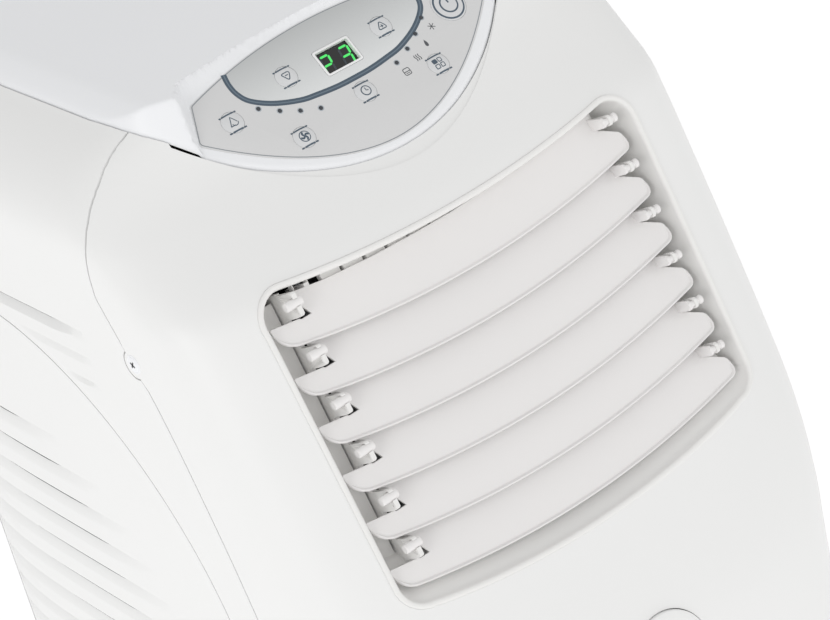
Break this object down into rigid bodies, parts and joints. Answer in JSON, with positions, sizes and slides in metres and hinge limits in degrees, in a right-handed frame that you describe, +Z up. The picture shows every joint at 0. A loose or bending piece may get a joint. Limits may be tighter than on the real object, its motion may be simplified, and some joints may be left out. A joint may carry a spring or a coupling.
{
  "type": "portable air conditioner",
  "caption": "White portable air conditioner on casters with a sloping key panel, a lit display, a wide swing louvre outlet in the front and slotted side intakes.",
  "frame": {"origin": "on the floor, under the middle of the object", "axes": "+Z up, the outlet and the key panel face -Y, the power key is on the +X side"},
  "size_m": [0.3486, 0.4523, 0.7],
  "materials": {
    "white_shell": "satin",
    "cover_grey": "satin",
    "panel_grey": "satin",
    "vane_white": "satin",
    "key_silver": "satin",
    "display_black": "gloss",
    "black_plastic": "matte",
    "rubber": "matte",
    "steel": "brushed",
    "fins": "matte",
    "copper": "satin",
    "board": "matte",
    "duct_grey": "matte"
  },
  "bodies": {
    "cabinet": {"front_shell": "white_shell", "top_cover": "cover_grey", "side_shell_left": "white_shell", "side_shell_right": "white_shell", "side_insert_left": "white_shell", "side_insert_right": "white_shell", "rear_panel": "white_shell", "louvre_frame": "white_shell", "swing_motor": "steel", "control_panel": "panel_grey", "display_window": "display_black", "display_module": "display_black", "control_board": "board", "front_cap": "white_shell", "base_pan": "black_plastic", "exhaust_collar": "white_shell", "exhaust_duct": "duct_grey", "cord_gland": "black_plastic", "bulkhead": "duct_grey", "evaporator": "fins", "blower_motor": "steel", "condenser": "fins", "condenser_motor": "steel", "motor_bracket": "steel", "compressor": "black_plastic", "water_tank": "duct_grey", "refrigerant_pipe": "copper"},
    "vane_1": {"vane_1": "vane_white"},
    "vane_2": {"vane_2": "vane_white"},
    "vane_3": {"vane_3": "vane_white"},
    "vane_4": {"vane_4": "vane_white"},
    "vane_5": {"vane_5": "vane_white"},
    "vane_6": {"vane_6": "vane_white"},
    "link": {"louvre_link": "vane_white"},
    "key_swing": {"key_swing": "key_silver"},
    "key_fan": {"key_fan": "key_silver"},
    "key_timer": {"key_timer": "key_silver"},
    "key_mode": {"key_mode": "key_silver"},
    "key_minus": {"key_minus": "key_silver"},
    "key_plus": {"key_plus": "key_silver"},
    "key_power": {"key_power": "key_silver"},
    "fork_front_left": {"caster_fork_front_left": "black_plastic"},
    "wheel_front_left": {"caster_wheel_front_left": "rubber"},
    "fork_front_right": {"caster_fork_front_right": "black_plastic"},
    "wheel_front_right": {"caster_wheel_front_right": "rubber"},
    "fork_rear_left": {"caster_fork_rear_left": "black_plastic"},
    "wheel_rear_left": {"caster_wheel_rear_left": "rubber"},
    "fork_rear_right": {"caster_fork_rear_right": "black_plastic"},
    "wheel_rear_right": {"caster_wheel_rear_right": "rubber"},
    "blower": {"blower_wheel": "black_plastic"},
    "condenser_fan": {"condenser_fan": "black_plastic"},
    "rear_grille": {"rear_grille": "white_shell", "rear_filter": "duct_grey"},
    "drain_cap": {"drain_cap": "black_plastic"}
  },
  "joints": [
    {"name": "vane_1_tilt", "type": "hinge", "parent": "cabinet", "child": "vane_1", "pos_m": [0, -0.108, 0.606], "axis": [-1, 0, 0], "range_deg": [-4, 28]},
    {"name": "vane_2_tilt", "type": "hinge", "parent": "cabinet", "child": "vane_2", "pos_m": [0, -0.11898, 0.58112], "axis": [-1, 0, 0], "range_deg": [-4, 28]},
    {"name": "vane_3_tilt", "type": "hinge", "parent": "cabinet", "child": "vane_3", "pos_m": [0, -0.12997, 0.55623], "axis": [-1, 0, 0], "range_deg": [-4, 28]},
    {"name": "vane_4_tilt", "type": "hinge", "parent": "cabinet", "child": "vane_4", "pos_m": [0, -0.14095, 0.53135], "axis": [-1, 0, 0], "range_deg": [-4, 28]},
    {"name": "vane_5_tilt", "type": "hinge", "parent": "cabinet", "child": "vane_5", "pos_m": [0, -0.15193, 0.50647], "axis": [-1, 0, 0], "range_deg": [-4, 28]},
    {"name": "vane_6_tilt", "type": "hinge", "parent": "cabinet", "child": "vane_6", "pos_m": [0, -0.16292, 0.48159], "axis": [-1, 0, 0], "range_deg": [-4, 28]},
    {"name": "link_pivot", "type": "hinge", "parent": "vane_1", "child": "link", "pos_m": [-0.087, -0.08056, 0.59389], "axis": [-1, 0, 0], "range_deg": [-28, 4]},
    {"name": "key_swing_press", "type": "slide", "parent": "cabinet", "child": "key_swing", "axis": [0, 0.6702, -0.7422], "range_m": [0, 0.0012], "stiffness_N_per_m": 400},
    {"name": "key_fan_press", "type": "slide", "parent": "cabinet", "child": "key_fan", "axis": [0, 0.6702, -0.7422], "range_m": [0, 0.0012], "stiffness_N_per_m": 400},
    {"name": "key_timer_press", "type": "slide", "parent": "cabinet", "child": "key_timer", "axis": [0, 0.6702, -0.7422], "range_m": [0, 0.0012], "stiffness_N_per_m": 400},
    {"name": "key_mode_press", "type": "slide", "parent": "cabinet", "child": "key_mode", "axis": [0, 0.6702, -0.7422], "range_m": [0, 0.0012], "stiffness_N_per_m": 400},
    {"name": "key_minus_press", "type": "slide", "parent": "cabinet", "child": "key_minus", "axis": [0, 0.6702, -0.7422], "range_m": [0, 0.0012], "stiffness_N_per_m": 400},
    {"name": "key_plus_press", "type": "slide", "parent": "cabinet", "child": "key_plus", "axis": [0, 0.6702, -0.7422], "range_m": [0, 0.0012], "stiffness_N_per_m": 400},
    {"name": "key_power_press", "type": "slide", "parent": "cabinet", "child": "key_power", "axis": [0, 0.6702, -0.7422], "range_m": [0, 0.0012], "stiffness_N_per_m": 400},
    {"name": "swivel_front_left", "type": "hinge", "parent": "cabinet", "child": "fork_front_left", "pos_m": [-0.11, -0.14, 0.05], "axis": [0, 0, 1], "continuous": true},
    {"name": "roll_front_left", "type": "hinge", "parent": "fork_front_left", "child": "wheel_front_left", "pos_m": [-0.11, -0.13, 0.018], "axis": [1, 0, 0], "continuous": true},
    {"name": "swivel_front_right", "type": "hinge", "parent": "cabinet", "child": "fork_front_right", "pos_m": [0.11, -0.14, 0.05], "axis": [0, 0, 1], "continuous": true},
    {"name": "roll_front_right", "type": "hinge", "parent": "fork_front_right", "child": "wheel_front_right", "pos_m": [0.11, -0.13, 0.018], "axis": [1, 0, 0], "continuous": true},
    {"name": "swivel_rear_left", "type": "hinge", "parent": "cabinet", "child": "fork_rear_left", "pos_m": [-0.11, 0.14, 0.05], "axis": [0, 0, 1], "continuous": true},
    {"name": "roll_rear_left", "type": "hinge", "parent": "fork_rear_left", "child": "wheel_rear_left", "pos_m": [-0.11, 0.15, 0.018], "axis": [1, 0, 0], "continuous": true},
    {"name": "swivel_rear_right", "type": "hinge", "parent": "cabinet", "child": "fork_rear_right", "pos_m": [0.11, 0.14, 0.05], "axis": [0, 0, 1], "continuous": true},
    {"name": "roll_rear_right", "type": "hinge", "parent": "fork_rear_right", "child": "wheel_rear_right", "pos_m": [0.11, 0.15, 0.018], "axis": [1, 0, 0], "continuous": true},
    {"name": "blower_spin", "type": "hinge", "parent": "cabinet", "child": "blower", "pos_m": [0, 0.006, 0.516], "axis": [1, 0, 0], "continuous": true},
    {"name": "condenser_fan_spin", "type": "hinge", "parent": "cabinet", "child": "condenser_fan", "pos_m": [0, 0.146, 0.272], "axis": [0, 1, 0], "continuous": true},
    {"name": "rear_grille_tilt", "type": "hinge", "parent": "cabinet", "child": "rear_grille", "pos_m": [0, 0.2225, 0.1305], "axis": [-1, 0, 0], "range_deg": [0, 38]},
    {"name": "drain_cap_turn", "type": "hinge", "parent": "cabinet", "child": "drain_cap", "pos_m": [-0.118, 0.2165, 0.092], "axis": [0, 1, 0], "range_deg": [0, 90]}
  ],
  "couplings": [
    {"joint": "vane_2_tilt", "follows": "vane_1_tilt", "ratio": 1},
    {"joint": "vane_3_tilt", "follows": "vane_1_tilt", "ratio": 1},
    {"joint": "vane_4_tilt", "follows": "vane_1_tilt", "ratio": 1},
    {"joint": "vane_5_tilt", "follows": "vane_1_tilt", "ratio": 1},
    {"joint": "vane_6_tilt", "follows": "vane_1_tilt", "ratio": 1},
    {"joint": "link_pivot", "follows": "vane_1_tilt", "ratio": -1}
  ]
}
